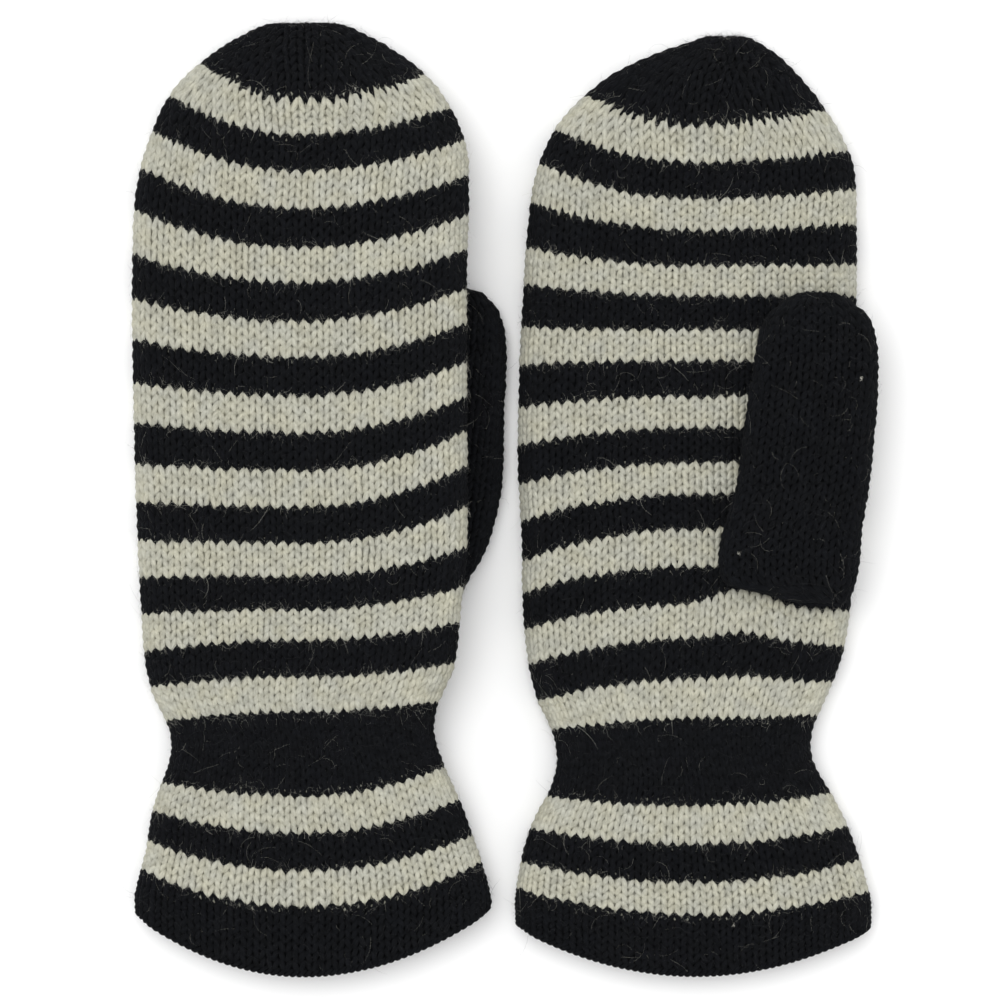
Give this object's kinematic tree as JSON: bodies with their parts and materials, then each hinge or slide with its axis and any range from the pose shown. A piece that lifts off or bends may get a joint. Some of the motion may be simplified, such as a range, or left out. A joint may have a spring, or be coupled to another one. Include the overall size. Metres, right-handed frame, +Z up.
{
  "type": "pair of knitted mittens",
  "caption": "A pair of striped wool mittens knitted in the round, lying flat: one back up, one palm up, with drawn-in wrists, flared cuffs and plain black thumbs",
  "frame": {"origin": "on the surface the pair lies on, under the middle of its bounding box", "axes": "+Z up, +Y from the cuffs towards the fingertips, +X from the left mitten to the right"},
  "size_m": [0.2197, 0.2816, 0.0285],
  "materials": {
    "black_wool": "fuzzy black wool yarn in stocking stitch",
    "cream_wool": "fuzzy undyed greyish cream wool yarn in stocking stitch",
    "elastic": "thin black knitting-in elastic"
  },
  "bodies": {
    "left_hand": {"left_hand_cream_1": "cream_wool", "left_hand_cream_2": "cream_wool", "left_hand_cream_3": "cream_wool", "left_hand_cream_4": "cream_wool", "left_hand_cream_5": "cream_wool", "left_hand_cream_6": "cream_wool", "left_hand_black_1": "black_wool", "left_hand_black_2": "black_wool", "left_hand_black_3": "black_wool", "left_hand_black_4": "black_wool", "left_hand_black_5": "black_wool", "left_hand_black_6": "black_wool", "left_thumb_root": "black_wool"},
    "left_cuff": {"left_cast_on_edge": "black_wool", "left_hem_black": "black_wool", "left_cuff_cream_1": "cream_wool", "left_cuff_black_1": "black_wool", "left_cuff_cream_2": "cream_wool", "left_wrist_black": "black_wool", "left_wrist_elastic": "elastic"},
    "left_fingers": {"left_hand_cream_7": "cream_wool", "left_hand_black_7": "black_wool", "left_hand_cream_8": "cream_wool", "left_hand_black_8": "black_wool", "left_hand_cream_9": "cream_wool", "left_tip_black": "black_wool", "left_tip_closing": "black_wool"},
    "left_thumb": {"left_thumb_lower": "black_wool", "left_thumb_upper": "black_wool", "left_thumb_tip": "black_wool"},
    "right_hand": {"right_hand_cream_1": "cream_wool", "right_hand_cream_2": "cream_wool", "right_hand_cream_3": "cream_wool", "right_hand_cream_4": "cream_wool", "right_hand_cream_5": "cream_wool", "right_hand_cream_6": "cream_wool", "right_hand_black_1": "black_wool", "right_hand_black_2": "black_wool", "right_hand_black_3": "black_wool", "right_hand_black_4": "black_wool", "right_hand_black_5": "black_wool", "right_hand_black_6": "black_wool", "right_thumb_root": "black_wool"},
    "right_cuff": {"right_cast_on_edge": "black_wool", "right_hem_black": "black_wool", "right_cuff_cream_1": "cream_wool", "right_cuff_black_1": "black_wool", "right_cuff_cream_2": "cream_wool", "right_wrist_black": "black_wool", "right_wrist_elastic": "elastic"},
    "right_fingers": {"right_hand_cream_7": "cream_wool", "right_hand_black_7": "black_wool", "right_hand_cream_8": "cream_wool", "right_hand_black_8": "black_wool", "right_hand_cream_9": "cream_wool", "right_tip_black": "black_wool", "right_tip_closing": "black_wool"},
    "right_thumb": {"right_thumb_lower": "black_wool", "right_thumb_upper": "black_wool", "right_thumb_tip": "black_wool"}
  },
  "joints": [
    {"name": "left_cuff_fold", "type": "hinge", "parent": "left_hand", "child": "left_cuff", "pos_m": [-0.0591, -0.07285, 0.0092], "axis": [-0.9954, 0, -0.0958], "range_deg": [0, 75], "deforming": ["left_wrist_black", "left_wrist_elastic"]},
    {"name": "left_fingers_fold", "type": "hinge", "parent": "left_hand", "child": "left_fingers", "pos_m": [-0.0601, 0.08395, 0.0137], "axis": [0.9882, 0, 0.153], "range_deg": [0, 80], "deforming": ["left_hand_cream_7", "left_hand_black_7", "left_hand_cream_8"]},
    {"name": "left_thumb_lift", "type": "hinge", "parent": "left_hand", "child": "left_thumb", "pos_m": [-0.0241, -0.00685, 0.0048], "axis": [-1, 0, 0], "range_deg": [0, 60], "deforming": ["left_thumb_lower"]},
    {"name": "right_cuff_fold", "type": "hinge", "parent": "right_hand", "child": "right_cuff", "pos_m": [0.0565, -0.07785, 0.0062], "axis": [-1, 0, 0], "range_deg": [0, 75], "deforming": ["right_wrist_black", "right_wrist_elastic"]},
    {"name": "right_fingers_fold", "type": "hinge", "parent": "right_hand", "child": "right_fingers", "pos_m": [0.0565, 0.07525, 0.007], "axis": [1, 0, 0], "range_deg": [0, 80], "deforming": ["right_hand_cream_7", "right_hand_black_7", "right_hand_cream_8"]},
    {"name": "right_thumb_lift", "type": "hinge", "parent": "right_hand", "child": "right_thumb", "pos_m": [0.0845, -0.00685, 0.0203], "axis": [1, 0, 0], "range_deg": [0, 70], "deforming": ["right_thumb_lower"]},
    {"name": "right_mitten_lift", "type": "slide", "parent": "left_hand", "child": "right_hand", "axis": [0, 0, 1], "range_m": [0, 0.15]}
  ]
}
